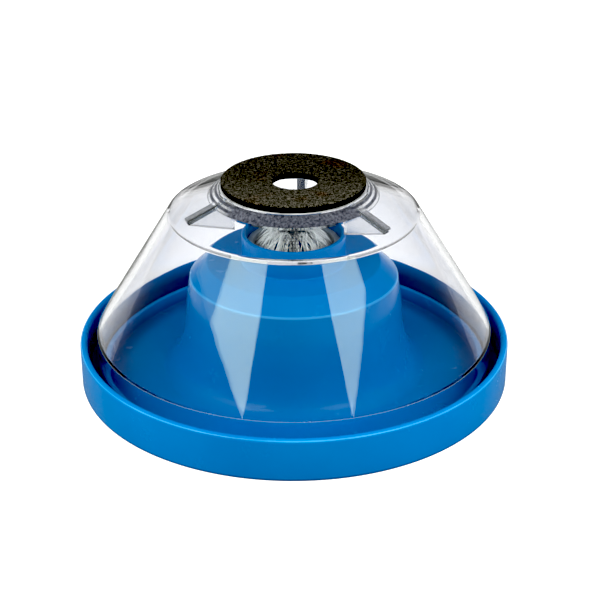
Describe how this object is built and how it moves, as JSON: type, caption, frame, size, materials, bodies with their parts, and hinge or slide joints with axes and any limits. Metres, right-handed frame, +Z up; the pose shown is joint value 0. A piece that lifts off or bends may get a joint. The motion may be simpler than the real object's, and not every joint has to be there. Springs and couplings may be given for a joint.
{
  "type": "drill dust collector",
  "caption": "Round drill dust collector: blue tray with a hollow tower and bristle ring, clear lift-off conical cover, and a foam sealing ring on top.",
  "frame": {"origin": "centre of the tray's underside, on the surface that it stands on", "axes": "+Z up along the drill bit, through the tower, the brush and the foam ring; -Y is the front"},
  "size_m": [0.105, 0.105, 0.0505],
  "materials": {
    "blue_plastic": "glossy moulded blue plastic",
    "brush_plastic": "plain moulded light grey plastic",
    "bristle": "natural white nylon bristle",
    "clear_plastic": "clear polished plastic",
    "adhesive_tape": "white double-sided tape",
    "foam": "dark closed-cell foam"
  },
  "bodies": {
    "tray": {"dust_tray": "blue_plastic", "brush_ring": "brush_plastic", "bristle_tuft_01": "bristle", "bristle_tuft_02": "bristle", "bristle_tuft_03": "bristle", "bristle_tuft_04": "bristle", "bristle_tuft_05": "bristle", "bristle_tuft_06": "bristle", "bristle_tuft_07": "bristle", "bristle_tuft_08": "bristle", "bristle_tuft_09": "bristle", "bristle_tuft_10": "bristle", "bristle_tuft_11": "bristle", "bristle_tuft_12": "bristle", "bristle_tuft_13": "bristle", "bristle_tuft_14": "bristle", "bristle_tuft_15": "bristle", "bristle_tuft_16": "bristle", "bristle_tuft_17": "bristle", "bristle_tuft_18": "bristle", "bristle_tuft_19": "bristle", "bristle_tuft_20": "bristle", "bristle_tuft_21": "bristle", "bristle_tuft_22": "bristle", "bristle_tuft_23": "bristle", "bristle_tuft_24": "bristle"},
    "cover": {"clear_cover": "clear_plastic", "foam_tape": "adhesive_tape", "foam_pad": "foam"}
  },
  "joints": [
    {"name": "cover_lift", "type": "slide", "parent": "tray", "child": "cover", "axis": [0, 0, 1], "range_m": [0, 0.05]}
  ]
}
